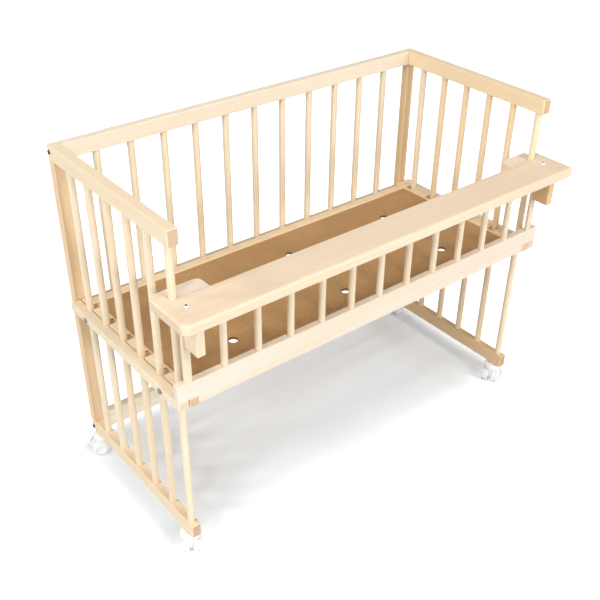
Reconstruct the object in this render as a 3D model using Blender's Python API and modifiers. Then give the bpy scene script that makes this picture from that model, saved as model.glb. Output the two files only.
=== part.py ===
"""Wooden bedside crib on casters, with a height-adjustable bed base and a lift-off barrier.

Metres, +Z up, the crib's length along X, its barrier at -Y, its origin on the floor
under the middle of its overall box.
"""

import math

import bmesh
import bpy
from mathutils import Matrix, Vector

# Overall frame
frame_length = 0.9528
frame_depth = 0.429
frame_height = 0.763
caster_height = 0.054

# Rails and posts of the frame
rail_thickness = 0.022
top_rail_height = 0.032
bottom_rail_thickness = 0.020
bottom_rail_height = 0.032
back_rail_thickness = 0.0205
lower_back_rail_height = 0.045
mid_rail_height = 0.030
mid_rail_drop = 0.016

# Spindles
spindle_diameter = 0.015
spindle_socket_depth = 0.008
front_spindle_inset = 0.0185
rear_spindle_inset = 0.044
back_spindle_inset = 0.0724
barrier_spindle_diameter = 0.014
end_spindle_count = 6
back_spindle_count = 11
spindle_sides = 16

# Bed base
base_front_overhang = 0.0125
base_back_clearance = 0.0015
comb_height = 0.018
comb_width = 0.022
clamp_bar_width = 0.022
clamp_slit = 0.002
pocket_depth = 0.0185
pocket_width = 0.017
rear_rail_width = 0.0205
rear_rail_inset = 0.010
front_rail_width = 0.020
front_rail_height = 0.018
panel_thickness = 0.006
panel_recess = 0.004
panel_groove_depth = 0.0025
vent_diameter = 0.020
vent_pitch_along = 0.2935
vent_pitch_across = 0.195
vents_along = 3
vents_back_of_middle = 0.0035

# Clamp bolts of the bed base
bolt_shank_diameter = 0.006
bolt_head_diameter = 0.0125
bolt_head_height = 0.002
bolt_end_wall = 0.006
bolt_sides = 16
rear_bolt_share = 0.33
front_bolt_share = 0.5

# Barrier
board_thickness = 0.016
board_height = 0.054
board_drop = 0.016
board_seam_height = 0.0015
board_seam_depth = 0.007
barrier_height = 0.204
shelf_below_top_rail = 0.106
shelf_end_overhang = 0.0236
shelf_overhang = 0.0705
shelf_depth = 0.0845
shelf_horn_depth = 0.024
shelf_thickness = 0.023
shelf_left_corner_radius = 0.017
shelf_right_corner_radius = 0.006
shelf_edge_round = 0.005
shelf_edge_segments = 3
left_post_inset = 0.0130
right_post_inset = 0.0179
barrier_post_width = 0.0155
barrier_post_thickness = 0.008
bracket_inset = 0.0179
bracket_thickness = 0.017
bracket_depth = 0.041
bracket_height = 0.062
left_ear_length = 0.098
right_ear_length = 0.083
ear_depth = 0.041
ear_thickness = 0.015
ear_drop = 0.005
ear_end_inset = 0.013
ear_corner_radius = 0.014

# Casters
caster_inset = 0.0265
neck_height = 0.002
wheel_width = 0.0165
wheel_edge_round = 0.005
wheel_rim = 0.009
wheel_hub_recess = 0.0015
wheel_to_web = 0.0005
web_thickness = 0.008
web_radius = 0.009
axle_radius = 0.003
trail = 0.010
hood_radius = 0.022
hood_thickness = 0.012
hood_clearance = 0.002
hood_crown_radius = 0.017
hood_edge_drop = 0.004
stem_radius = 0.004
stem_length = 0.020
turned_steps = 20
caster_turns = {
    "front_left": -30.0,
    "back_left": -104.0,
    "front_right": -64.5,
    "back_right": 104.0,
}

# Fits and edges
fit = 0.0003
slide_fit = 0.0008
edge_round = 0.0014
edge_segments = 1
overrun = 0.010

# Places worked out from the sizes above
half_length = frame_length / 2
frame_back = (frame_depth + shelf_overhang) / 2
frame_front = frame_back - frame_depth
back_rail_front = frame_back - back_rail_thickness
back_rail_middle = frame_back - back_rail_thickness / 2
bottom_rail_top = caster_height + bottom_rail_height
top_rail_bottom = frame_height - top_rail_height
end_rail_inner = half_length - rail_thickness
spindle_plane = half_length - rail_thickness / 2
bottom_rail_inner = spindle_plane - bottom_rail_thickness / 2
bottom_rail_outer = spindle_plane + bottom_rail_thickness / 2
spindle_radius = spindle_diameter / 2
barrier_spindle_radius = barrier_spindle_diameter / 2
shelf_length = frame_length + 2 * shelf_end_overhang
shelf_top = top_rail_bottom - shelf_below_top_rail
shelf_bottom = shelf_top - shelf_thickness
shelf_front = frame_front - shelf_overhang
shelf_back = shelf_front + shelf_depth
base_top = shelf_top - barrier_height
base_front = frame_front - base_front_overhang
base_back = back_rail_front - base_back_clearance
base_bottom = base_top - comb_height
mid_rail_top = base_top - mid_rail_drop
comb_outer = spindle_plane - clamp_slit / 2
comb_inner = comb_outer - comb_width
pocket_floor = comb_outer - pocket_depth
bar_inner = spindle_plane + clamp_slit / 2
bar_outer = bar_inner + clamp_bar_width
board_back = base_front + board_thickness
board_middle = base_front + board_thickness / 2
board_bottom = base_top - board_drop
board_top = board_bottom + board_height
barrier_post_xs = {"left": half_length - left_post_inset, "right": half_length - right_post_inset}
barrier_post_back = base_front + barrier_post_thickness
bracket_x = half_length - bracket_inset
panel_top = base_top - panel_recess
panel_bottom = panel_top - panel_thickness
rear_rail_back = base_back - rear_rail_inset
rear_rail_front = rear_rail_back - rear_rail_width
front_spindle_y = frame_front + front_spindle_inset
rear_spindle_y = back_rail_front - rear_spindle_inset
end_spindle_pitch = (rear_spindle_y - front_spindle_y) / (end_spindle_count - 1)
end_spindle_ys = [front_spindle_y + end_spindle_pitch * k for k in range(end_spindle_count)]
first_back_spindle_x = back_spindle_inset - end_rail_inner
back_spindle_pitch = -2 * first_back_spindle_x / (back_spindle_count - 1)
back_spindle_xs = [first_back_spindle_x + back_spindle_pitch * k for k in range(back_spindle_count)]
bolt_ys = {
    "rear": end_spindle_ys[-1] - end_spindle_pitch * rear_bolt_share,
    "front": end_spindle_ys[0] + end_spindle_pitch * front_bolt_share,
}
hood_top = caster_height - neck_height
hood_bottom = hood_top - hood_thickness
wheel_radius = (hood_bottom - hood_clearance) / 2
wheel_hub_radius = wheel_radius - wheel_rim
caster_ys = {"front": frame_front + caster_inset, "back": frame_back - caster_inset}
sides = {"left": -1, "right": 1}


def new_collection(name):
    """A new collection in the scene."""
    collection = bpy.data.collections.new(name)
    bpy.context.scene.collection.children.link(collection)
    return collection


def new_material(name, colour, roughness, metallic=0.0):
    """A Principled material with one colour."""
    material = bpy.data.materials.new(name)
    material.use_nodes = True
    shader = material.node_tree.nodes["Principled BSDF"]
    shader.inputs["Base Color"].default_value = (*colour, 1.0)
    shader.inputs["Roughness"].default_value = roughness
    shader.inputs["Metallic"].default_value = metallic
    material.diffuse_color = (*colour, 1.0)
    return material


def add_object(name, mesh, place, material, collection):
    """An object that holds a mesh, at a place in the world."""
    thing = bpy.data.objects.new(name, mesh)
    thing.location = place
    if material is not None:
        mesh.materials.append(material)
    collection.objects.link(thing)
    return thing


def mesh_from(name, shape):
    """The mesh of a bmesh, which is then freed."""
    mesh = bpy.data.meshes.new(name)
    shape.to_mesh(mesh)
    shape.free()
    return mesh


def box_mesh(name, size):
    """A box of the given size round its own middle."""
    shape = bmesh.new()
    bmesh.ops.create_cube(shape, size=1.0, matrix=Matrix.Diagonal((*size, 1.0)))
    return mesh_from(name, shape)


def rod_mesh(name, radius, length, sides_round, turn=None):
    """A cylinder round its own middle, along Z unless it is turned."""
    shape = bmesh.new()
    bmesh.ops.create_cone(
        shape,
        cap_ends=True,
        segments=sides_round,
        radius1=radius,
        radius2=radius,
        depth=length,
        matrix=turn or Matrix.Identity(4),
    )
    mesh = mesh_from(name, shape)
    return mesh


def shade_round(mesh):
    """Smooth shading with sharp edges where the faces meet steeply."""
    mesh.shade_smooth()
    mesh.set_sharp_from_angle(angle=math.radians(40))


def round_edges(thing, width, segments=edge_segments):
    """A bevel on the sharp edges of an object."""
    bevel = thing.modifiers.new("rounded edges", "BEVEL")
    bevel.width = width
    bevel.segments = segments
    bevel.limit_method = "ANGLE"
    bevel.angle_limit = math.radians(40)
    bevel.harden_normals = False


def box_between(name, low, high, material, round_width=edge_round):
    """A box with rounded edges between two corners."""
    low = Vector(low)
    high = Vector(high)
    thing = add_object(name, box_mesh(name, high - low), (low + high) / 2, material, parts)
    if round_width:
        round_edges(thing, round_width)
    return thing


def mirrored_box(name, sign, inner, outer, low_yz, high_yz, material):
    """A box of one side of the crib, between two distances from the middle plane."""
    xs = sorted((sign * inner, sign * outer))
    return box_between(name, (xs[0], *low_yz), (xs[1], *high_yz), material)


def spindle(name, place, radius, low, high, material):
    """A round upright at a place in plan, between two heights."""
    mesh = rod_mesh(name, radius, high - low, spindle_sides)
    shade_round(mesh)
    return add_object(name, mesh, (*place, (low + high) / 2), material, parts)


def cutter_of(name, mesh, place):
    """A hidden object that other objects are cut or joined with."""
    tool = add_object(name, mesh, place, None, cutters)
    tool.hide_render = True
    tool.display_type = "WIRE"
    return tool


def side_cutter(name, sign, low, high):
    """A hidden box on one side of the crib, its corners given for the right side."""
    low = Vector(low)
    high = Vector(high)
    middle = (low + high) / 2
    return cutter_of(name, box_mesh(name, high - low), (sign * middle.x, middle.y, middle.z))


def apply_tool(thing, tool, operation="DIFFERENCE"):
    """A Boolean of an object with a hidden one."""
    boolean = thing.modifiers.new(tool.name, "BOOLEAN")
    boolean.object = tool
    boolean.operation = operation
    boolean.solver = "EXACT"


def rods_mesh(name, places, radius, low, high):
    """Several upright cylinders at places in plan, in world coordinates."""
    shape = bmesh.new()
    for x, y in places:
        bmesh.ops.create_cone(
            shape,
            cap_ends=True,
            segments=spindle_sides,
            radius1=radius,
            radius2=radius,
            depth=high - low,
            matrix=Matrix.Translation((x, y, (low + high) / 2)),
        )
    return mesh_from(name, shape)


def drill(thing, label, places, radius, low, high):
    """Upright holes through or into an object, between two heights."""
    mesh = rods_mesh(label, places, radius, low, high)
    apply_tool(thing, cutter_of(label, mesh, (0, 0, 0)))


def outline_mesh(name, points, thickness):
    """A flat closed outline made solid, round its own middle height."""
    curve = bpy.data.curves.new(name, "CURVE")
    curve.dimensions = "2D"
    curve.fill_mode = "BOTH"
    curve.extrude = thickness / 2
    line = curve.splines.new("POLY")
    line.points.add(len(points) - 1)
    for point, (x, y) in zip(line.points, points):
        point.co = (x, y, 0, 1)
    line.use_cyclic_u = True
    guide = bpy.data.objects.new(name, curve)
    cutters.objects.link(guide)
    bpy.context.view_layer.update()
    seen = guide.evaluated_get(bpy.context.evaluated_depsgraph_get())
    mesh = bpy.data.meshes.new_from_object(seen)
    bpy.data.objects.remove(guide)
    shape = bmesh.new()
    shape.from_mesh(mesh)
    bmesh.ops.remove_doubles(shape, verts=shape.verts, dist=fit / 10)
    bmesh.ops.dissolve_limit(
        shape, angle_limit=math.radians(1), verts=shape.verts, edges=shape.edges
    )
    bmesh.ops.recalc_face_normals(shape, faces=shape.faces)
    shape.to_mesh(mesh)
    shape.free()
    mesh.name = name
    return mesh


def arc(centre, radius, start, end, steps):
    """Points along an arc, its angles in degrees."""
    angles = [math.radians(start + (end - start) * k / steps) for k in range(steps + 1)]
    return [(centre[0] + radius * math.cos(a), centre[1] + radius * math.sin(a)) for a in angles]


def turned(name, profile, place, material, steps=turned_steps):
    """A turned shape round Z, from its outer profile of radius and height, top to bottom."""
    mesh = bpy.data.meshes.new(name)
    points = [(radius, 0, height) for radius, height in profile]
    edges = [(k, k + 1) for k in range(len(points) - 1)]
    mesh.from_pydata(points, edges, [])
    thing = add_object(name, mesh, place, material, parts)
    screw = thing.modifiers.new("turned", "SCREW")
    screw.steps = steps
    screw.render_steps = steps
    screw.use_merge_vertices = True
    screw.merge_threshold = fit / 10
    screw.use_smooth_shade = True
    return thing


def empty_at(name, place, turn=0.0):
    """An empty that carries what moves together."""
    empty = bpy.data.objects.new(name, None)
    empty.location = place
    empty.rotation_euler = (0, 0, math.radians(turn))
    empty.empty_display_size = caster_height
    parts.objects.link(empty)
    return empty


def carry(empty, things):
    """Parents things to an empty, where they are."""
    for thing in things:
        thing.parent = empty
        thing.location = thing.location - empty.location


# End frames: a rail along the top and the bottom of each end, with its spindles
def make_end_frame(side, sign):
    """The rails, the back post and the six spindles of one end."""
    x = sign * spindle_plane
    places = [(x, y) for y in end_spindle_ys]
    hole_radius = spindle_radius + fit

    top_rail = mirrored_box(
        side + "_top_rail", sign, end_rail_inner, half_length,
        (frame_front, top_rail_bottom), (frame_back, frame_height), pine,
    )
    drill(
        top_rail, side + "_top_sockets", places, hole_radius,
        top_rail_bottom - overrun, top_rail_bottom + spindle_socket_depth + fit,
    )

    bottom_rail = mirrored_box(
        side + "_bottom_rail", sign, bottom_rail_inner, bottom_rail_outer,
        (frame_front, caster_height), (frame_back, bottom_rail_top), pine,
    )
    drill(
        bottom_rail, side + "_bottom_sockets", places, hole_radius,
        bottom_rail_top - spindle_socket_depth - fit, bottom_rail_top + overrun,
    )
    drill(
        bottom_rail, side + "_stem_holes", [(x, y) for y in caster_ys.values()],
        stem_radius + fit, caster_height - overrun, caster_height + stem_length + fit,
    )

    mirrored_box(
        side + "_back_post", sign, end_rail_inner, half_length,
        (back_rail_front, bottom_rail_top + fit), (frame_back, top_rail_bottom - fit), pine,
    )

    for number, place in enumerate(places, start=1):
        spindle(
            side + "_spindle_" + str(number), place, spindle_radius,
            bottom_rail_top - spindle_socket_depth, top_rail_bottom + spindle_socket_depth, pine,
        )


# Back: a top rail, a lower rail and the spindle panel that stands between the posts
def make_back():
    """The two back rails and the panel of back spindles on its own rail."""
    rail_end = end_rail_inner - fit
    places = [(x, back_rail_middle) for x in back_spindle_xs]

    top_rail = box_between(
        "back_top_rail", (-rail_end, back_rail_front, top_rail_bottom),
        (rail_end, frame_back, frame_height), pine,
    )
    drill(
        top_rail, "back_top_sockets", places, spindle_radius + fit,
        top_rail_bottom - overrun, top_rail_bottom + spindle_socket_depth + fit,
    )

    box_between(
        "lower_back_rail", (-rail_end, back_rail_front, caster_height),
        (rail_end, frame_back, caster_height + lower_back_rail_height), pine,
    )

    panel = box_between(
        "back_spindle_panel", (-rail_end, back_rail_front, mid_rail_top - mid_rail_height),
        (rail_end, frame_back, mid_rail_top), pine,
    )
    uprights = rods_mesh(
        "back_spindles", places, spindle_radius,
        mid_rail_top - mid_rail_height / 2, top_rail_bottom + spindle_socket_depth,
    )
    apply_tool(panel, cutter_of("back_spindles", uprights, (0, 0, 0)), "UNION")


# Bed base: comb rails and clamp bars grip the end spindles, and carry the floor panel
def make_comb_rail(side, sign):
    """The inner rail of one end, with a pocket for each spindle and a groove for the panel."""
    comb = mirrored_box(
        side + "_comb_rail", sign, comb_inner, comb_outer,
        (base_front, base_bottom), (base_back, base_top), pine,
    )
    apply_tool(comb, side_cutter(
        side + "_rebate", sign,
        (comb_inner - overrun, base_front - overrun, base_bottom - overrun),
        (pocket_floor, board_back + fit, base_top + overrun),
    ))

    shape = bmesh.new()
    pocket_middle = pocket_floor + (pocket_depth + overrun) / 2
    for y in end_spindle_ys:
        size = Matrix.Diagonal((pocket_depth + overrun, pocket_width, comb_height + overrun, 1.0))
        middle = Matrix.Translation((sign * pocket_middle, y, (base_top + base_bottom) / 2))
        bmesh.ops.create_cube(shape, size=1.0, matrix=middle @ size)
    apply_tool(comb, cutter_of(side + "_pockets", mesh_from("pockets", shape), (0, 0, 0)))

    apply_tool(comb, side_cutter(
        side + "_groove", sign,
        (comb_inner - overrun, board_back, panel_bottom - fit),
        (comb_inner + panel_groove_depth, rear_rail_back - edge_round, panel_top + fit),
    ))
    return comb


def make_clamp_bar(side, sign):
    """The outer bar of one end, with a half-round notch for each spindle."""
    bar = mirrored_box(
        side + "_clamp_bar", sign, bar_inner, bar_outer,
        (base_front, base_bottom), (base_back, base_top), pine,
    )
    places = [(sign * spindle_plane, y) for y in end_spindle_ys]
    drill(
        bar, side + "_notches", places, spindle_radius + slide_fit,
        base_bottom - overrun, base_top + overrun,
    )
    return bar


def make_clamp_bolt(side, sign, row, comb, bar):
    """A bolt with a round head that draws one clamp bar to its comb rail."""
    height = base_top - comb_height / 2
    y = bolt_ys[row]
    along = Matrix.Rotation(math.radians(90), 4, "Y")
    shank_length = bar_outer - comb_inner - bolt_end_wall
    shank_middle = sign * (bar_outer + fit - shank_length / 2)

    head_middle = sign * (bar_outer + fit + bolt_head_height / 2)
    head = rod_mesh("bolt", bolt_head_diameter / 2, bolt_head_height, bolt_sides, along)
    bolt = add_object(
        "_".join((side, row, "clamp_bolt")), head, (head_middle, y, height), steel, parts
    )
    round_edges(bolt, bolt_head_height / 4, 1)
    shank = rod_mesh(
        "shank", bolt_shank_diameter / 2, shank_length + bolt_head_height, bolt_sides, along
    )
    shank_place = (shank_middle + sign * bolt_head_height / 2, y, height)
    apply_tool(bolt, cutter_of(bolt.name + "_shank", shank, shank_place), "UNION")

    hole_length = shank_length + overrun
    hole = rod_mesh("hole", bolt_shank_diameter / 2 + fit, hole_length, bolt_sides, along)
    hole_end = bar_outer + fit - shank_length - fit
    hole_middle = (sign * (hole_end + hole_length / 2), y, height)
    tool = cutter_of(bolt.name + "_hole", hole, hole_middle)
    apply_tool(comb, tool)
    apply_tool(bar, tool)
    return bolt


def make_floor_panel():
    """The floor panel in its grooves, with two rows of round vent holes."""
    reach = comb_inner + panel_groove_depth - fit
    low = Vector((-reach, board_back + fit, panel_bottom))
    high = Vector((reach, rear_rail_front + panel_groove_depth - fit, panel_top))
    panel = box_between("floor_panel", low, high, fibreboard, 0)
    rows_y = (low.y + high.y) / 2 + vents_back_of_middle
    places = []
    for y_sign in (-1, 1):
        for k in range(vents_along):
            x = vent_pitch_along * (k - (vents_along - 1) / 2)
            places.append((x, rows_y + y_sign * vent_pitch_across / 2))
    drill(panel, "vents", places, vent_diameter / 2, low.z - overrun, high.z + overrun)
    return panel


def make_bed_base():
    """Everything that goes up and down on the end spindles."""
    pieces = [make_floor_panel()]
    for side, sign in sides.items():
        comb = make_comb_rail(side, sign)
        bar = make_clamp_bar(side, sign)
        pieces += [comb, bar]
        pieces += [make_clamp_bolt(side, sign, row, comb, bar) for row in bolt_ys]

    reach = comb_inner - fit
    rear = box_between(
        "rear_rail", (-reach, rear_rail_front, base_bottom), (reach, rear_rail_back, base_top), pine
    )
    groove_low = Vector((-reach - overrun, rear_rail_front - overrun, panel_bottom - fit))
    groove_high = Vector((reach + overrun, rear_rail_front + panel_groove_depth, panel_top + fit))
    groove = cutter_of(
        "rear_groove", box_mesh("groove", groove_high - groove_low), (groove_low + groove_high) / 2
    )
    apply_tool(rear, groove)

    front_rail_top = panel_bottom - fit
    front = box_between(
        "front_rail", (-reach, board_back + fit, front_rail_top - front_rail_height),
        (reach, board_back + fit + front_rail_width, front_rail_top), pine,
    )
    pieces += [rear, front]
    carry(empty_at("bed_base", (0, 0, base_bottom)), pieces)


# Barrier: a board, spindles and a shelf that hook over the ends of the bed base
def make_front_board():
    """The bottom board, its lower corners cut away over the ends of the bars and rails."""
    board = box_between(
        "front_board", (-bar_outer, base_front, board_bottom), (bar_outer, board_back, board_top), pine
    )
    shoulder = base_top + fit
    for side, sign in sides.items():
        low = (pocket_floor - fit, base_front - overrun, board_bottom - overrun)
        apply_tool(board, side_cutter(
            side + "_board_corner", sign, low, (bar_outer + overrun, board_back + overrun, shoulder)
        ))
        apply_tool(board, side_cutter(
            side + "_board_seam", sign, low,
            (bar_outer + overrun, base_front + board_seam_depth, shoulder + board_seam_height),
        ))
    places = [(x, board_middle) for x in back_spindle_xs]
    drill(
        board, "board_sockets", places, barrier_spindle_radius + fit,
        board_top - spindle_socket_depth - fit, board_top + overrun,
    )
    return board


def make_shelf():
    """The shelf, with a horn at each end that reaches back past the foremost end spindle."""
    half = shelf_length / 2
    middle_y = (shelf_front + shelf_back) / 2
    front = shelf_front - middle_y
    back = shelf_back - middle_y
    left = shelf_left_corner_radius
    right = shelf_right_corner_radius
    outline = arc((left - half, front + left), left, 180, 270, 6)
    outline += arc((half - right, front + right), right, 270, 360, 6)
    horn_back = back + shelf_horn_depth
    outline += [(half, horn_back), (spindle_plane, horn_back), (spindle_plane, back)]
    outline += [(-spindle_plane, back), (-spindle_plane, horn_back), (-half, horn_back)]
    mesh = outline_mesh("shelf", outline, shelf_thickness)
    shelf = add_object(
        "shelf", mesh, (0, middle_y, (shelf_top + shelf_bottom) / 2), pine, parts
    )
    round_edges(shelf, shelf_edge_round, shelf_edge_segments)

    notch_radius = spindle_radius + slide_fit
    for side, sign in sides.items():
        x = sign * spindle_plane
        outline = arc((0, 0), notch_radius, 180, 360, 8)
        outline += [(notch_radius, shelf_depth), (-notch_radius, shelf_depth)]
        mesh = outline_mesh("notch", outline, shelf_thickness + overrun)
        place = (x, end_spindle_ys[0], (shelf_top + shelf_bottom) / 2)
        apply_tool(shelf, cutter_of(side + "_shelf_notch", mesh, place))

    places = [(x, board_middle) for x in back_spindle_xs]
    drill(
        shelf, "shelf_sockets", places, barrier_spindle_radius + fit,
        shelf_bottom - overrun, shelf_bottom + spindle_socket_depth + fit,
    )
    return shelf


def make_ear(side, sign):
    """The block behind the shelf that closes its notch round the end spindle."""
    outer = shelf_length / 2 - ear_end_inset
    length = left_ear_length if side == "left" else right_ear_length
    inner = outer - length
    middle_x = (outer + inner) / 2
    half = length / 2
    corner = (-half + ear_corner_radius, ear_depth / 2 - ear_corner_radius)
    front = -ear_depth / 2
    hole_x = spindle_plane - middle_x
    hole_y = end_spindle_ys[0] - shelf_back - fit + front
    horn_x = hole_x + spindle_radius
    horn_y = front + shelf_horn_depth + slide_fit - fit
    outline = [(-half, front), (hole_x, front), (hole_x, hole_y), (horn_x, hole_y)]
    outline += [(horn_x, horn_y), (half, horn_y), (half, ear_depth / 2)]
    outline += arc(corner, ear_corner_radius, 90, 180, 6)
    if sign < 0:
        outline = [(-x, y) for x, y in reversed(outline)]
    mesh = outline_mesh("ear", outline, ear_thickness)
    top = shelf_top - ear_drop
    place = (sign * middle_x, shelf_back + fit + ear_depth / 2, top - ear_thickness / 2)
    ear = add_object(side + "_ear", mesh, place, pine, parts)
    round_edges(ear, edge_round)
    notch = (sign * spindle_plane, end_spindle_ys[0])
    drill(
        ear, side + "_ear_notch", [notch], spindle_radius + slide_fit,
        top - ear_thickness - overrun, top + overrun,
    )
    return ear


def make_barrier():
    """Everything that lifts off with the barrier."""
    pieces = [make_front_board(), make_shelf()]
    for side, sign in sides.items():
        pieces.append(make_ear(side, sign))
        post_x = barrier_post_xs[side]
        pieces.append(mirrored_box(
            side + "_end_post", sign,
            post_x - barrier_post_width / 2, post_x + barrier_post_width / 2,
            (base_front, board_top + fit), (barrier_post_back, shelf_bottom - fit), pine,
        ))
        pieces.append(mirrored_box(
            side + "_bracket", sign,
            bracket_x - bracket_thickness / 2, bracket_x + bracket_thickness / 2,
            (base_front - fit - bracket_depth, shelf_bottom - fit - bracket_height),
            (base_front - fit, shelf_bottom - fit), pine,
        ))
    for number, x in enumerate(back_spindle_xs, start=1):
        pieces.append(spindle(
            "barrier_spindle_" + str(number), (x, board_middle), barrier_spindle_radius,
            board_top - spindle_socket_depth, shelf_bottom + spindle_socket_depth, pine,
        ))
    carry(empty_at("barrier", (0, board_middle, base_top)), pieces)


# Casters: a hood on a stem swivels under each rail end, and a pair of wheels rolls in it
def hood_profile():
    """The hood, neck and stem as radius and height above the floor, top to bottom."""
    return [
        (0, caster_height + stem_length),
        (stem_radius, caster_height + stem_length),
        (stem_radius, caster_height - fit),
        (2 * stem_radius, caster_height - fit),
        (2 * stem_radius, hood_top),
        (hood_crown_radius, hood_top),
        (hood_radius, hood_top - hood_edge_drop),
        (hood_radius, hood_bottom),
        (0, hood_bottom),
    ]


def wheel_profile():
    """Two wheels on one axle as radius and place along it, from one end to the other."""
    inner = web_thickness / 2 + wheel_to_web
    outer = inner + wheel_width
    r = wheel_edge_round
    half = [
        (0, outer - wheel_hub_recess),
        (wheel_hub_radius, outer - wheel_hub_recess),
        (wheel_hub_radius + wheel_hub_recess, outer),
    ]
    half += [(wheel_radius - r + a, outer - r + b) for b, a in arc((0, 0), r, 90, 0, 3)]
    half += [(wheel_radius, inner + r / 2), (wheel_radius - r / 2, inner), (axle_radius, inner)]
    return half + [(radius, -place) for radius, place in reversed(half)]


def make_caster(name, place, turn):
    """One twin-wheel caster, turned about its stem."""
    swivel = empty_at(name + "_swivel", (*place, 0), turn)
    across = Matrix.Rotation(math.radians(90), 4, "Y")
    axle = Vector((0, -trail, wheel_radius))

    hood = turned(name + "_caster_hood", hood_profile(), (0, 0, 0), plastic)
    web_top = (hood_bottom + hood_top) / 2
    web = cutter_of(
        name + "_web", box_mesh("web", (web_thickness, 2 * web_radius, web_top - wheel_radius)),
        (0, -trail, (web_top + wheel_radius) / 2),
    )
    boss = cutter_of(
        name + "_boss", rod_mesh("boss", web_radius, web_thickness, turned_steps, across), axle
    )
    bore = cutter_of(
        name + "_bore",
        rod_mesh("bore", axle_radius + fit, web_thickness + overrun, turned_steps, across), axle,
    )
    apply_tool(hood, web, "UNION")
    apply_tool(hood, boss, "UNION")
    apply_tool(hood, bore)

    wheels = turned(name + "_caster_wheels", wheel_profile(), axle, plastic)
    wheels.rotation_euler = (0, math.radians(90), 0)
    for thing in (hood, web, boss, bore, wheels):
        thing.parent = swivel


for leftover in list(bpy.data.objects):
    bpy.data.objects.remove(leftover)

parts = new_collection("wooden_crib")
cutters = new_collection("cutters")

pine = new_material("pine", (0.86, 0.70, 0.47), 0.55)
fibreboard = new_material("fibreboard", (0.45, 0.27, 0.13), 0.65)
plastic = new_material("white_plastic", (0.85, 0.85, 0.83), 0.35)
steel = new_material("steel", (0.35, 0.34, 0.33), 0.35, 1.0)

for side_name, side_sign in sides.items():
    make_end_frame(side_name, side_sign)
make_back()
make_bed_base()
make_barrier()
for end_name, caster_y in caster_ys.items():
    for side_name, side_sign in sides.items():
        corner_name = end_name + "_" + side_name
        make_caster(corner_name, (side_sign * spindle_plane, caster_y), caster_turns[corner_name])
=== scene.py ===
import math
import random
import bmesh
import bpy
from mathutils import Matrix, Vector


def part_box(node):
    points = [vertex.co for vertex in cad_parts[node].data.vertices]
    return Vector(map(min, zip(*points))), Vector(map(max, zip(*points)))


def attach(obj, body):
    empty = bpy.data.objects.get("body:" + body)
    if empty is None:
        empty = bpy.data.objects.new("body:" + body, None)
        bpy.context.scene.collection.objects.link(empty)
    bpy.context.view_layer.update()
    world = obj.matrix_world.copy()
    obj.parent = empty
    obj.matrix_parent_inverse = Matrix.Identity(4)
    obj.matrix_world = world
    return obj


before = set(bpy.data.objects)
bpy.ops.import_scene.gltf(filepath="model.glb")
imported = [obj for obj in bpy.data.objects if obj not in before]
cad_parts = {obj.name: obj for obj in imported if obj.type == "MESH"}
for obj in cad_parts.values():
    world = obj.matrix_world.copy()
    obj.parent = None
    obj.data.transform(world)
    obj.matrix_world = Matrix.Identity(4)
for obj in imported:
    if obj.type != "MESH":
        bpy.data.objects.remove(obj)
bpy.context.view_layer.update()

# The camera stands in front of the crib's left end, above it, and looks down across the bed.
# It is a short telephoto, turned a little, with a slight shift that puts the crib in the frame.
camera_place = Vector((-1.0834, -1.26885, 1.4423))
camera_heading = math.radians(38.83)
camera_dip = math.radians(35.18)
camera_roll = math.radians(0.65)
camera_lens_mm = 53.26
camera_sensor_mm = 36
camera_shift_x = 0.0023
camera_shift_y = 0.0505
sight = Vector((
    math.sin(camera_heading) * math.cos(camera_dip),
    math.cos(camera_heading) * math.cos(camera_dip),
    -math.sin(camera_dip),
))
level_right = Vector((math.cos(camera_heading), -math.sin(camera_heading), 0))
level_up = level_right.cross(sight)
rolled_right = math.cos(camera_roll) * level_right + math.sin(camera_roll) * level_up
rolled_up = math.cos(camera_roll) * level_up - math.sin(camera_roll) * level_right
camera = bpy.data.objects.new("camera", bpy.data.cameras.new("camera"))
camera.data.lens = camera_lens_mm
camera.data.sensor_width = camera_sensor_mm
camera.data.shift_x = camera_shift_x
camera.data.shift_y = camera_shift_y
camera.matrix_world = (
    Matrix.Translation(camera_place)
    @ Matrix((rolled_right, rolled_up, -sight)).transposed().to_4x4()
)
bpy.context.scene.collection.objects.link(camera)
bpy.context.scene.camera = camera
bpy.context.scene.view_settings.view_transform = "Standard"

# The studio is a white paper floor with eight soft white lamps set round it. The strongest stand in
# front, low and high, and high on the left; weaker ones on the right and behind fill the shadows.
# The paper keeps the crib's shadow and is plain white further out.
paper_half_width = 7.0
paper_white = (0.815, 0.86, 0.905, 1)
paper_lift_near = 0.13
paper_lift_far = 1.0
paper_fade_ends = (0.485, 0.56)
paper_fade_front = (-0.08, -0.30)
paper_fade_back = (0.25, 0.32)
room_white = (1, 1, 1, 1)
room_fill = 0.11
studio_lamps = (
    ("front_lamp", (0.0, -4.91, 3.84), 1.4, 104),
    ("low_front_lamp", (1.52, -5.67, 1.65), 1.4, 118),
    ("left_front_lamp", (-4.26, -2.46, 3.84), 1.2, 70),
    ("left_lamp", (-5.56, 0.0, 2.65), 1.4, 102),
    ("overhead_lamp", (-1.17, -1.17, 3.26), 0.7, 26),
    ("left_rear_lamp", (-4.26, 2.46, 3.84), 0.7, 44),
    ("right_lamp", (4.91, 0.0, 3.84), 1.4, 30),
    ("back_lamp", (0.0, 4.91, 3.84), 0.5, 26),
)
lamp_aim = Vector((0, 0, 0.4))


def new_material(name):
    """An empty node material with its output and its surface shader."""
    material = bpy.data.materials.new(name)
    material.use_nodes = True
    tree = material.node_tree
    tree.nodes.clear()
    output = tree.nodes.new("ShaderNodeOutputMaterial")
    surface = tree.nodes.new("ShaderNodeBsdfPrincipled")
    tree.links.new(surface.outputs["BSDF"], output.inputs["Surface"])
    return material, tree, surface


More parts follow.
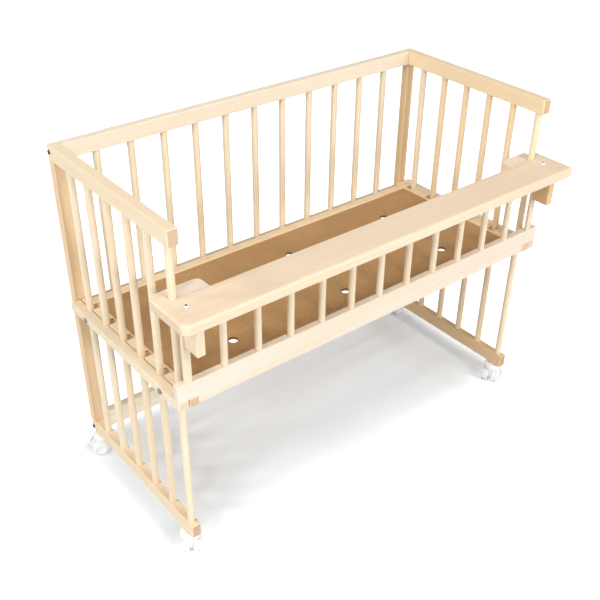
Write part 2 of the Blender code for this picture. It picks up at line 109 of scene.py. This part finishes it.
for lamp_name, place, width, watts in studio_lamps:
    lamp = bpy.data.objects.new(lamp_name, bpy.data.lights.new(lamp_name, "AREA"))
    lamp.data.shape = "DISK"
    lamp.data.size = width
    lamp.data.energy = watts
    lamp.location = place
    lamp.rotation_euler = (lamp_aim - Vector(place)).to_track_quat("-Z", "Y").to_euler()
    bpy.context.scene.collection.objects.link(lamp)

room = bpy.data.worlds.new("room")
room.use_nodes = True
room_tree = room.node_tree
room_rays = room_tree.nodes.new("ShaderNodeLightPath")
seen_or_mirrored = room_tree.nodes.new("ShaderNodeMath")
seen_or_mirrored.operation = "MAXIMUM"
room_tree.links.new(room_rays.outputs["Is Camera Ray"], seen_or_mirrored.inputs[0])
room_tree.links.new(room_rays.outputs["Is Glossy Ray"], seen_or_mirrored.inputs[1])
seen_at_all = room_tree.nodes.new("ShaderNodeMath")
seen_at_all.operation = "MAXIMUM"
room_tree.links.new(seen_or_mirrored.outputs[0], seen_at_all.inputs[0])
room_tree.links.new(room_rays.outputs["Is Transmission Ray"], seen_at_all.inputs[1])
room_level = room_tree.nodes.new("ShaderNodeMapRange")
room_level.inputs["To Min"].default_value = room_fill
room_level.inputs["To Max"].default_value = 1
room_tree.links.new(seen_at_all.outputs[0], room_level.inputs["Value"])
room_light = room_tree.nodes["Background"]
room_light.inputs["Color"].default_value = room_white
room_tree.links.new(room_level.outputs["Result"], room_light.inputs["Strength"])
bpy.context.scene.world = room

paper_mesh = bpy.data.meshes.new("paper_floor")
paper_mesh.from_pydata(
    [
        (-paper_half_width, -paper_half_width, 0),
        (paper_half_width, -paper_half_width, 0),
        (paper_half_width, paper_half_width, 0),
        (-paper_half_width, paper_half_width, 0),
    ],
    [],
    [(0, 1, 2, 3)],
)
paper_floor = bpy.data.objects.new("paper_floor", paper_mesh)
bpy.context.scene.collection.objects.link(paper_floor)
paper, paper_tree, paper_surface = new_material("studio_paper")
paper_surface.inputs["Base Color"].default_value = paper_white
paper_surface.inputs["Roughness"].default_value = 1
paper_surface.inputs["Specular IOR Level"].default_value = 0
paper_surface.inputs["Emission Color"].default_value = room_white
paper_rays = paper_tree.nodes.new("ShaderNodeLightPath")
paper_place = paper_tree.nodes.new("ShaderNodeTexCoord")
paper_spot = paper_tree.nodes.new("ShaderNodeSeparateXYZ")
paper_tree.links.new(paper_place.outputs["Object"], paper_spot.inputs[0])
paper_side = paper_tree.nodes.new("ShaderNodeMath")
paper_side.operation = "ABSOLUTE"
paper_tree.links.new(paper_spot.outputs["X"], paper_side.inputs[0])
paper_clear = None
for distance, (near_edge, far_edge) in (
    (paper_side.outputs[0], paper_fade_ends),
    (paper_spot.outputs["Y"], paper_fade_front),
    (paper_spot.outputs["Y"], paper_fade_back),
):
    fade = paper_tree.nodes.new("ShaderNodeMapRange")
    fade.inputs["From Min"].default_value = near_edge
    fade.inputs["From Max"].default_value = far_edge
    paper_tree.links.new(distance, fade.inputs["Value"])
    if paper_clear is None:
        paper_clear = fade.outputs["Result"]
        continue
    either = paper_tree.nodes.new("ShaderNodeMath")
    either.operation = "MAXIMUM"
    paper_tree.links.new(paper_clear, either.inputs[0])
    paper_tree.links.new(fade.outputs["Result"], either.inputs[1])
    paper_clear = either.outputs[0]
paper_lift = paper_tree.nodes.new("ShaderNodeMapRange")
paper_lift.interpolation_type = "SMOOTHSTEP"
paper_lift.inputs["To Min"].default_value = paper_lift_near
paper_lift.inputs["To Max"].default_value = paper_lift_far
paper_tree.links.new(paper_clear, paper_lift.inputs["Value"])
paper_glow = paper_tree.nodes.new("ShaderNodeMath")
paper_glow.operation = "MULTIPLY"
paper_tree.links.new(paper_lift.outputs["Result"], paper_glow.inputs[1])
paper_tree.links.new(paper_rays.outputs["Is Camera Ray"], paper_glow.inputs[0])
paper_tree.links.new(paper_glow.outputs[0], paper_surface.inputs["Emission Strength"])
paper_mesh.materials.append(paper)

# The two ends are ladder-like frames of planed pine: a top rail and a bottom rail, with softened
# edges, joined by the spindles. Each rail is cut from its own plank, so its growth rings differ.
ring_width = 0.0024
ring_wander = 3.0
fibre_across = 1150
fibre_along = 22
streak_across = 95
streak_along = 2.2
cloud_across = 14
cloud_along = 1.6
pith_near = 0.035
pith_far = 0.11
run_out = math.radians(1.6)
pine_roughness = 0.46
pine_specular = 0.42
pine_bump = 0.00022
pine_warm = (0.82, 0.58, 0.36)
fibre_shade = (0.955, 0.945, 0.93)
fibre_light = (1.0, 1.0, 1.0)
ring_strength = 0.30
streak_strength = 0.40
cloud_strength = 0.26
late_wood_span = (0.35, 0.93)
ring_spread = (0.75, 1.2)
ring_detail = 1.5
ring_detail_scale = 0.09
grain_detail = 3
grain_roughness = 0.55
gloss_dip = 0.05
gloss_rise = 0.06
relief_of_fibre = 0.6
relief_strength = 0.5
end_face_span = (0.75, 0.95)
end_tint = (0.76, 0.65, 0.58)
# A dark band round the edges of an end face is painted shade, standing for the shadowed slits where
# the parts meet.
seam_shade_width = 0.0022
seam_shade_tint = (0.42, 0.30, 0.20)


def pine(piece, along, seed, colour, end=end_tint, grain=0.7, pith=None, painted_seam_shade=False):
    """Lacquered pine for one node, with the grain running along "X", "Y" or "Z"."""
    draw = random.Random(seed)
    material, tree, surface = new_material("pine_" + piece)

    def node(kind, **settings):
        made = tree.nodes.new("ShaderNode" + kind)
        for name, value in settings.items():
            setattr(made, name, value)
        return made

    def join(source, target):
        tree.links.new(source, target)

    low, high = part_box(piece)
    middle = (low + high) / 2
    axis = "XYZ".index(along)
    angle = draw.uniform(0, 2 * math.pi) if pith is None else math.radians(pith)
    reach = draw.uniform(pith_near, pith_far)
    off = Vector((0, 0, 0))
    off[(axis + 1) % 3] = reach * math.cos(angle)
    off[(axis + 2) % 3] = reach * math.sin(angle)
    off[axis] = draw.uniform(-1, 1)
    lean = [draw.uniform(-run_out, run_out) for _ in range(3)]
    lean[axis] = 0
    turn = Matrix.Rotation(lean[2], 3, "Z") @ Matrix.Rotation(lean[1], 3, "Y")
    turn = turn @ Matrix.Rotation(lean[0], 3, "X")

    place = node("TexCoord")
    log = node("Mapping")
    log.inputs["Rotation"].default_value = lean
    log.inputs["Location"].default_value = off - turn @ middle
    join(place.outputs["Object"], log.inputs["Vector"])

    def stretched(across, long, shift):
        """Noise drawn out along the grain."""
        pull = node("Mapping")
        scale = [across] * 3
        scale[axis] = long
        pull.inputs["Scale"].default_value = scale
        pull.inputs["Location"].default_value = [shift + draw.uniform(0, 40) for _ in range(3)]
        join(log.outputs["Vector"], pull.inputs["Vector"])
        noise = node("TexNoise")
        noise.inputs["Scale"].default_value = 1
        noise.inputs["Detail"].default_value = grain_detail
        noise.inputs["Roughness"].default_value = grain_roughness
        join(pull.outputs["Vector"], noise.inputs["Vector"])
        return noise.outputs["Fac"]

    rings = node("TexWave", wave_type="RINGS", rings_direction=along, wave_profile="SAW")
    rings.inputs["Scale"].default_value = math.pi / 10 / ring_width * draw.uniform(*ring_spread)
    rings.inputs["Distortion"].default_value = ring_wander
    rings.inputs["Detail"].default_value = ring_detail
    rings.inputs["Detail Scale"].default_value = ring_detail_scale
    join(log.outputs["Vector"], rings.inputs["Vector"])
    late = node("ValToRGB")
    late.color_ramp.elements[0].position = late_wood_span[0]
    late.color_ramp.elements[0].color = (0, 0, 0, 1)
    late.color_ramp.elements[1].position = late_wood_span[1]
    late.color_ramp.elements[1].color = (1, 1, 1, 1)
    join(rings.outputs["Fac"], late.inputs["Fac"])

    fibre = stretched(fibre_across, fibre_along, 0)
    streak = stretched(streak_across, streak_along, 50)
    cloud = stretched(cloud_across, cloud_along, 90)

    def blended(kind, amount, first, second):
        """Mixes two colours, by a plain amount or by a node's output."""
        mix = node("Mix", data_type="RGBA", blend_type=kind)
        if isinstance(amount, float):
            mix.inputs[0].default_value = amount
        else:
            join(amount, mix.inputs[0])
        for slot_number, value in ((6, first), (7, second)):
            if isinstance(value, tuple):
                mix.inputs[slot_number].default_value = (*value, 1)
            else:
                join(value, mix.inputs[slot_number])
        return mix.outputs[2]

    def spread(source, low_end, high_end, from_low=0.3, from_high=0.7):
        """Stretches a node's output to run between two values."""
        span = node("MapRange")
        span.inputs["From Min"].default_value = from_low
        span.inputs["From Max"].default_value = from_high
        span.inputs["To Min"].default_value = low_end
        span.inputs["To Max"].default_value = high_end
        join(source, span.inputs["Value"])
        return span.outputs["Result"]

    ring_depth = node("Math", operation="MULTIPLY")
    join(late.outputs["Color"], ring_depth.inputs[0])
    ring_depth.inputs[1].default_value = ring_strength * grain
    body = blended("MIX", ring_depth.outputs[0], colour, pine_warm)
    body = blended("MIX", spread(streak, 0.0, streak_strength * grain), body, pine_warm)
    body = blended("MIX", spread(cloud, 0.0, cloud_strength * grain), body, pine_warm)
    shade = blended("MIX", spread(fibre, 0.0, 1.0), fibre_shade, fibre_light)
    body = blended("MULTIPLY", 1.0, body, shade)

    facing = node("SeparateXYZ")
    join(place.outputs["Normal"], facing.inputs[0])
    end_on = node("Math", operation="ABSOLUTE")
    join(facing.outputs[along], end_on.inputs[0])
    end_share = spread(end_on.outputs[0], 0.0, 1.0, *end_face_span)
    body = blended("MULTIPLY", end_share, body, end)
    # Painted shade: the end face darkens in a band along its edges, where slits between the parts lie
    # in shade.
    if painted_seam_shade:
        seam_shade = None
        for side_axis in ((axis + 1) % 3, (axis + 2) % 3):
            spot = node("SeparateXYZ")
            join(place.outputs["Object"], spot.inputs[0])
            away = node("Math", operation="SUBTRACT")
            away.inputs[1].default_value = middle[side_axis]
            join(spot.outputs[side_axis], away.inputs[0])
            size = node("Math", operation="ABSOLUTE")
            join(away.outputs[0], size.inputs[0])
            half = (high[side_axis] - low[side_axis]) / 2
            close = spread(size.outputs[0], 0.0, 1.0, half - seam_shade_width, half - seam_shade_width / 2)
            if seam_shade is None:
                seam_shade = close
                continue
            either = node("Math", operation="MAXIMUM")
            join(seam_shade, either.inputs[0])
            join(close, either.inputs[1])
            seam_shade = either.outputs[0]
        shown = node("Math", operation="MULTIPLY")
        join(seam_shade, shown.inputs[0])
        join(end_share, shown.inputs[1])
        body = blended("MULTIPLY", shown.outputs[0], body, seam_shade_tint)
    join(body, surface.inputs["Base Color"])

    gloss = spread(fibre, pine_roughness - gloss_dip, pine_roughness + gloss_rise)
    join(gloss, surface.inputs["Roughness"])
    surface.inputs["Specular IOR Level"].default_value = pine_specular
    relief = node("Math", operation="MULTIPLY_ADD")
    join(fibre, relief.inputs[0])
    relief.inputs[1].default_value = relief_of_fibre
    join(ring_depth.outputs[0], relief.inputs[2])
    bump = node("Bump")
    bump.inputs["Strength"].default_value = relief_strength
    bump.inputs["Distance"].default_value = pine_bump
    join(relief.outputs[0], bump.inputs["Height"])
    join(bump.outputs["Normal"], surface.inputs["Normal"])

    wear(piece, material)
    return material


def wear(piece, material):
    """Puts the material on a CAD node in place of its plain one."""
    slots = bpy.data.objects[piece].material_slots
    if not slots:
        bpy.data.objects[piece].data.materials.append(material)
    for slot in slots:
        slot.material = material


pine("left_top_rail", "Y", 11, colour=(0.94, 0.80, 0.58), pith=20)
pine("right_top_rail", "Y", 12, colour=(0.95, 0.78, 0.51), pith=200)
pine("left_bottom_rail", "Y", 13, colour=(0.95, 0.79, 0.55), end=(0.73, 0.60, 0.54))
# The right bottom rail's dark, warm colour is painted shade: it stands in shade under the bed base.
pine("right_bottom_rail", "Y", 14, colour=(0.84, 0.60, 0.34))

# Two square back posts stand on the bottom rails and carry the rail along the top of the back.
# A lower back rail ties the feet. All are planed pine, bolted through the ends.
# The back posts' deep, warm colours are painted shade of the corners behind the end spindles.
pine("left_back_post", "Z", 21, colour=(0.94, 0.70, 0.42), grain=1.5)
pine("right_back_post", "Z", 22, colour=(0.90, 0.64, 0.32), grain=1.2)
pine("back_top_rail", "X", 23, colour=(0.94, 0.86, 0.71), pith=95)
pine("lower_back_rail", "X", 24, colour=(0.95, 0.92, 0.77))

# Six turned pine spindles fill each end. They are glued into the rails, and the bed base slides on
# them. Each is its own stick, so each has its own rings and a slightly different colour. The four
# middle right spindles are darker and warmer instead, and that colour is painted shade.
stick_pale = (0.95, 0.84, 0.65)
stick_warm = (0.94, 0.79, 0.57)
# The next stick colour is painted shade. It is darker and warmer than the wood really is.
stick_painted_shade = (0.95, 0.76, 0.50)


def stick_colour(seed):
    """One stick's colour, between the pale and the warm one."""
    share = random.Random(seed * 7 + 3).uniform(0, 1)
    return tuple(a + (b - a) * share for a, b in zip(stick_pale, stick_warm))


for side, first_seed in (("left", 31), ("right", 41)):
    for number in range(1, 7):
        stick_seed = first_seed + number
        # Right spindles 2 to 5 take the darker, warmer stick colour, which is painted shade under the
        # bed base.
        tone = stick_painted_shade if side == "right" and 1 < number < 6 else stick_colour(stick_seed)
        pine(f"{side}_spindle_{number}", "Z", stick_seed, colour=tone)

# A thin wire pin is driven through each bottom rail in front of every spindle, to lock its foot.
# Only the small domed heads show, in a row along the inner edge of the rail's top face.
pin_rings = ((0.0013, -0.0004), (0.0013, 0.0003), (0.0009, 0.0007), (0.0003, 0.0009))
pin_steps = 12
pin_inset = 0.0021
pin_ahead = 0.0062
pin_speck = 1500
pin_tones = ((0.10, 0.075, 0.06, 1), (0.24, 0.19, 0.16, 1))
pin_metallic = 0.8
pin_roughness = 0.5


def speckled(name, speck, tones, detail=2, span=(0, 1)):
    """A finish whose colour runs between two tones in fine specks."""
    material, tree, surface = new_material(name)
    place = tree.nodes.new("ShaderNodeTexCoord")
    specks = tree.nodes.new("ShaderNodeTexNoise")
    specks.inputs["Scale"].default_value = speck
    specks.inputs["Detail"].default_value = detail
    tree.links.new(place.outputs["Object"], specks.inputs["Vector"])
    tone = tree.nodes.new("ShaderNodeValToRGB")
    for stop, position, colour in zip(tone.color_ramp.elements, span, tones):
        stop.position = position
        stop.color = colour
    tree.links.new(specks.outputs["Fac"], tone.inputs["Fac"])
    tree.links.new(tone.outputs["Color"], surface.inputs["Base Color"])
    return material, tree, surface, place, specks


pin_metal, _, pin_surface, _, _ = speckled("pin_wire", pin_speck, pin_tones)
pin_surface.inputs["Metallic"].default_value = pin_metallic
pin_surface.inputs["Roughness"].default_value = pin_roughness
for side in ("left", "right"):
    rail_low, rail_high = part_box(f"{side}_bottom_rail")
    inner_edge = rail_high.x - pin_inset if side == "left" else rail_low.x + pin_inset
    pins = bmesh.new()
    for number in range(1, 7):
        stick_low, stick_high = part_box(f"{side}_spindle_{number}")
        pin_y = stick_low.y - pin_ahead + (stick_high.y - stick_low.y) / 2
        loops = []
        for radius, height in pin_rings:
            loops.append([])
            for step in range(pin_steps):
                turn = 2 * math.pi * step / pin_steps
                spot = Vector((radius * math.cos(turn), radius * math.sin(turn), height))
                spot += Vector((inner_edge, pin_y, rail_high.z))
                loops[-1].append(pins.verts.new(spot))
        for lower, upper in zip(loops, loops[1:]):
            for step in range(pin_steps):
                beside = (step + 1) % pin_steps
                pins.faces.new((lower[step], lower[beside], upper[beside], upper[step]))
        pins.faces.new(loops[-1])
        pins.faces.new(loops[0][::-1])
    pin_mesh = bpy.data.meshes.new(f"{side}_pin_heads")
    pins.to_mesh(pin_mesh)
    pins.free()
    pin_mesh.materials.append(pin_metal)
    pin_heads = bpy.data.objects.new(f"{side}_pin_heads", pin_mesh)
    bpy.context.scene.collection.objects.link(pin_heads)
    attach(pin_heads, "frame")

# The back is filled by eleven turned pine spindles that stand in a mid rail behind the bed base.
# They are one glued panel, so one material covers them, with the grain upright.
pine("back_spindle_panel", "Z", 51, colour=(0.94, 0.83, 0.62))

# The bed base is a brown hardboard panel with six round vents cut through it, lying on pine rails.
# Comb rails inside the ends and clamp bars outside them hold the spindles between them.
# The comb rails' end faces carry a painted shade band round their edges.
pine("left_comb_rail", "Y", 61, colour=(0.92, 0.74, 0.50), end=(0.80, 0.70, 0.62), painted_seam_shade=True)
pine("right_comb_rail", "Y", 62, colour=(0.95, 0.75, 0.46), end=(0.92, 0.84, 0.78), painted_seam_shade=True)
pine("left_clamp_bar", "Y", 63, colour=(0.94, 0.82, 0.62), end=(0.86, 0.82, 0.82))
pine("right_clamp_bar", "Y", 64, colour=(0.92, 0.78, 0.55), end=(0.92, 0.92, 0.96))
pine("rear_rail", "X", 65, colour=(0.92, 0.73, 0.48))
pine("front_rail", "X", 66, colour=(0.91, 0.78, 0.57))

board_brown = (0.50, 0.285, 0.118, 1)
board_dark = (0.33, 0.175, 0.065, 1)
board_light = (0.63, 0.39, 0.175, 1)
# The side-face tint is partly the raw cut edge's own tone and partly painted shade on the vent walls.
raw_edge_and_vent_shade_tint = (0.42, 0.34, 0.28, 1)
face_tint = (1, 1, 1, 1)
fleck_size = 620
fleck_detail = 4
fleck_roughness = 0.65
fleck_span = (0.28, 0.5, 0.74)
board_cloud_size = 9
board_cloud_detail = 5
board_cloud_roughness = 0.6
board_cloud_span = (0.3, 0.7)
board_cloud_tones = ((0.90, 0.89, 0.87, 1), (1.06, 1.06, 1.06, 1))
board_roughness = 0.62
board_specular = 0.3
board_relief_strength = 0.35
board_relief = 0.0003
hardboard, hard_tree, hard_surface = new_material("hardboard")
hard_place = hard_tree.nodes.new("ShaderNodeTexCoord")
fibre_fleck = hard_tree.nodes.new("ShaderNodeTexNoise")
fibre_fleck.inputs["Scale"].default_value = fleck_size
fibre_fleck.inputs["Detail"].default_value = fleck_detail
fibre_fleck.inputs["Roughness"].default_value = fleck_roughness
hard_tree.links.new(hard_place.outputs["Object"], fibre_fleck.inputs["Vector"])
board_cloud = hard_tree.nodes.new("ShaderNodeTexNoise")
board_cloud.inputs["Scale"].default_value = board_cloud_size
board_cloud.inputs["Detail"].default_value = board_cloud_detail
board_cloud.inputs["Roughness"].default_value = board_cloud_roughness
hard_tree.links.new(hard_place.outputs["Object"], board_cloud.inputs["Vector"])
fleck_colour = hard_tree.nodes.new("ShaderNodeValToRGB")
fleck_colour.color_ramp.elements[0].position = fleck_span[0]
fleck_colour.color_ramp.elements[0].color = board_dark
fleck_colour.color_ramp.elements[1].position = fleck_span[2]
fleck_colour.color_ramp.elements[1].color = board_light
fleck_middle = fleck_colour.color_ramp.elements.new(fleck_span[1])
fleck_middle.color = board_brown
hard_tree.links.new(fibre_fleck.outputs["Fac"], fleck_colour.inputs["Fac"])
cloud_colour = hard_tree.nodes.new("ShaderNodeValToRGB")
for stop, position, tone in zip(cloud_colour.color_ramp.elements, board_cloud_span, board_cloud_tones):
    stop.position = position
    stop.color = tone
hard_tree.links.new(board_cloud.outputs["Fac"], cloud_colour.inputs["Fac"])
hard_mix = hard_tree.nodes.new("ShaderNodeMix")
hard_mix.data_type = "RGBA"
hard_mix.blend_type = "MULTIPLY"
hard_mix.inputs[0].default_value = 1
hard_tree.links.new(fleck_colour.outputs["Color"], hard_mix.inputs[6])
hard_tree.links.new(cloud_colour.outputs["Color"], hard_mix.inputs[7])
hard_facing = hard_tree.nodes.new("ShaderNodeSeparateXYZ")
hard_tree.links.new(hard_place.outputs["Normal"], hard_facing.inputs[0])
hard_level = hard_tree.nodes.new("ShaderNodeMath")
hard_level.operation = "ABSOLUTE"
hard_tree.links.new(hard_facing.outputs["Z"], hard_level.inputs[0])
# Faces that don't face up or down are darkened: partly the raw edge's own tone, partly painted shade
# inside the vents.
edge_and_vent_shade = hard_tree.nodes.new("ShaderNodeMix")
edge_and_vent_shade.data_type = "RGBA"
edge_and_vent_shade.inputs[6].default_value = raw_edge_and_vent_shade_tint
edge_and_vent_shade.inputs[7].default_value = face_tint
hard_tree.links.new(hard_level.outputs[0], edge_and_vent_shade.inputs[0])
hard_whole = hard_tree.nodes.new("ShaderNodeMix")
hard_whole.data_type = "RGBA"
hard_whole.blend_type = "MULTIPLY"
hard_whole.inputs[0].default_value = 1
hard_tree.links.new(hard_mix.outputs[2], hard_whole.inputs[6])
hard_tree.links.new(edge_and_vent_shade.outputs[2], hard_whole.inputs[7])
hard_tree.links.new(hard_whole.outputs[2], hard_surface.inputs["Base Color"])
hard_surface.inputs["Roughness"].default_value = board_roughness
hard_surface.inputs["Specular IOR Level"].default_value = board_specular
hard_bump = hard_tree.nodes.new("ShaderNodeBump")
hard_bump.inputs["Strength"].default_value = board_relief_strength
hard_bump.inputs["Distance"].default_value = board_relief
hard_tree.links.new(fibre_fleck.outputs["Fac"], hard_bump.inputs["Height"])
hard_tree.links.new(hard_bump.outputs["Normal"], hard_surface.inputs["Normal"])
wear("floor_panel", hardboard)

# Steel bolts hold the crib together: black ones in the back corners, dark ones through the ends of
# the clamp bars and bright zinc ones through the shelf. The added heads are low and round, each
# with a hexagon socket, on a thin washer; each socket is lined black, which in the zinc heads is
# painted shade.
dark_speck = 900
dark_tones = ((0.22, 0.22, 0.235, 1), (0.40, 0.40, 0.42, 1))
dark_roughness = (0.28, 0.46)
black_speck = 1100
black_tones = ((0.055, 0.052, 0.055, 1), (0.13, 0.125, 0.13, 1))
black_roughness = 0.38
zinc_speck = 900
zinc_tones = ((0.66, 0.66, 0.68, 1), (0.84, 0.84, 0.86, 1))
zinc_roughness = 0.34
steel_detail = 3
steel_span = (0.3, 0.7)
steel, steel_tree, steel_surface, _, steel_grain = speckled(
    "dark_steel", dark_speck, dark_tones, steel_detail, steel_span)
steel_rough = steel_tree.nodes.new("ShaderNodeMapRange")
steel_rough.inputs["To Min"].default_value = dark_roughness[0]
steel_rough.inputs["To Max"].default_value = dark_roughness[1]
steel_tree.links.new(steel_grain.outputs["Fac"], steel_rough.inputs["Value"])
steel_tree.links.new(steel_rough.outputs["Result"], steel_surface.inputs["Roughness"])
steel_surface.inputs["Metallic"].default_value = 1
black_steel_and_socket_shade, _, black_surface, _, _ = speckled(
    "black_steel", black_speck, black_tones, steel_detail, steel_span)
black_surface.inputs["Metallic"].default_value = 1
black_surface.inputs["Roughness"].default_value = black_roughness
steel_bright, _, bright_surface, _, _ = speckled("zinc_steel", zinc_speck, zinc_tones)
bright_surface.inputs["Metallic"].default_value = 1
bright_surface.inputs["Roughness"].default_value = zinc_roughness
for bolt_end in ("left_rear", "left_front", "right_rear", "right_front"):
    wear(bolt_end + "_clamp_bolt", steel)

bolt_steps = 24
bolt_sunk = 0.0006
bolt_rings = (
    (0.0066, -bolt_sunk),
    (0.0066, 0.0004),
    (0.0062, 0.0008),
    (0.0053, 0.0009),
    (0.0052, 0.0020),
    (0.0047, 0.0028),
    (0.0040, 0.0031),
)
socket_flat = 0.0028
socket_depth = 0.0022
socket_lip = 0.0001


def bolt_head(name, place, outward, body, metal, share=1.0):
    """A round bolt head on its washer, with a hexagon socket lined black as painted shade, facing
    outward.
    """
    mesh = bmesh.new()
    turns = [2 * math.pi * step / bolt_steps for step in range(bolt_steps)]
    rings = [(radius * share, height * share) for radius, height in bolt_rings]
    loops = [[mesh.verts.new((r * math.cos(t), r * math.sin(t), h)) for t in turns] for r, h in rings]
    top = rings[-1][1]
    sixth = math.pi / 3
    for height in (top - socket_lip * share, top - socket_depth * share):
        loops.append([])
        for t in turns:
            r = socket_flat * share / math.cos(t % sixth - sixth / 2)
            loops[-1].append(mesh.verts.new((r * math.cos(t), r * math.sin(t), height)))
    for number, (lower, upper) in enumerate(zip(loops, loops[1:])):
        for step in range(bolt_steps):
            beside = (step + 1) % bolt_steps
            side = mesh.faces.new((lower[step], lower[beside], upper[beside], upper[step]))
            side.material_index = 1 if number >= len(rings) else 0
    mesh.faces.new(loops[-1]).material_index = 1
    mesh.faces.new(loops[0][::-1])
    data = bpy.data.meshes.new(name)
    mesh.to_mesh(data)
    mesh.free()
    data.materials.append(metal)
    # The socket takes black steel whatever the head is: on the zinc heads this black is painted shade
    # in the recess.
    data.materials.append(black_steel_and_socket_shade)
    head = bpy.data.objects.new(name, data)
    head.location = place
    head.rotation_euler = Vector(outward).to_track_quat("Z", "Y").to_euler()
    bpy.context.scene.collection.objects.link(head)
    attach(head, body)
    return head


corner_bolt_y = 0.241
corner_bolt_heights = (("upper", 0.749), ("lower", 0.067))
shelf_bolt_y = -0.1975
shelf_bolt_x = 0.461
shelf_bolt_share = 0.80
corner_bolt_share = 0.72
for side, sign, rail in (("left", -1, "left_top_rail"), ("right", 1, "right_top_rail")):
    outer_face = max(abs(corner.x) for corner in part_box(rail)) * sign
    for level, height in corner_bolt_heights:
        corner_name = f"{side}_{level}_corner_bolt"
        corner_place = (outer_face, corner_bolt_y, height)
        bolt_head(corner_name, corner_place, (sign, 0, 0), "frame", black_steel_and_socket_shade, corner_bolt_share)
    shelf_place = (sign * shelf_bolt_x, shelf_bolt_y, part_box("shelf")[1].z)
    bolt_head(f"{side}_shelf_bolt", shelf_place, (0, 0, 1), "barrier", steel_bright, shelf_bolt_share)

# The barrier closes the long front. Its deep board hooks on the bed base, eleven short spindles
# stand on it, and a wide shelf lies on them. Posts, brackets and ears stiffen its ends.
pine("front_board", "X", 71, colour=(0.93, 0.84, 0.72), end=(0.98, 0.95, 0.92), grain=0.8, pith=90)
pine("shelf", "X", 72, colour=(0.94, 0.79, 0.60), end=(0.90, 0.87, 0.82), grain=0.9, pith=5)
pine("left_end_post", "Z", 73, colour=(0.93, 0.81, 0.62))
pine("right_end_post", "Z", 74, colour=(0.93, 0.80, 0.60))
pine("left_bracket", "Z", 75, colour=(0.93, 0.77, 0.57))
# The right bracket's deep brown colour is painted shade: it stands in shade under the shelf.
pine("right_bracket", "Z", 76, colour=(0.82, 0.55, 0.29))
pine("left_ear", "X", 77, colour=(0.94, 0.82, 0.70), end=(0.97, 0.96, 0.95))
pine("right_ear", "X", 78, colour=(0.94, 0.82, 0.68), end=(0.95, 0.92, 0.90))
for number in range(1, 12):
    stick_seed = 80 + number
    pine(f"barrier_spindle_{number}", "Z", stick_seed, colour=stick_colour(stick_seed))

# Four casters of white moulded plastic swivel under the corners. Each has a hood that covers the
# top of its wheels and a pair of wheels on one axle.
plastic_scuff_size = 60
plastic_scuff_detail = 4
plastic_scuff_span = (0.35, 0.65)
plastic_tones = ((0.91, 0.91, 0.90, 1), (0.95, 0.95, 0.94, 1))
plastic_grain_size = 1400
plastic_grain_detail = 2
plastic_roughness = 0.38
plastic_relief_strength = 0.2
plastic_relief = 0.0001
plastic, plastic_tree, plastic_surface, plastic_place, _ = speckled(
    "white_plastic", plastic_scuff_size, plastic_tones, plastic_scuff_detail, plastic_scuff_span)
plastic_grain = plastic_tree.nodes.new("ShaderNodeTexNoise")
plastic_grain.inputs["Scale"].default_value = plastic_grain_size
plastic_grain.inputs["Detail"].default_value = plastic_grain_detail
plastic_tree.links.new(plastic_place.outputs["Object"], plastic_grain.inputs["Vector"])
plastic_surface.inputs["Roughness"].default_value = plastic_roughness
plastic_bump = plastic_tree.nodes.new("ShaderNodeBump")
plastic_bump.inputs["Strength"].default_value = plastic_relief_strength
plastic_bump.inputs["Distance"].default_value = plastic_relief
plastic_tree.links.new(plastic_grain.outputs["Fac"], plastic_bump.inputs["Height"])
plastic_tree.links.new(plastic_bump.outputs["Normal"], plastic_surface.inputs["Normal"])
for corner in ("front_left", "front_right", "back_left", "back_right"):
    wear(corner + "_caster_hood", plastic)
    wear(corner + "_caster_wheels", plastic)
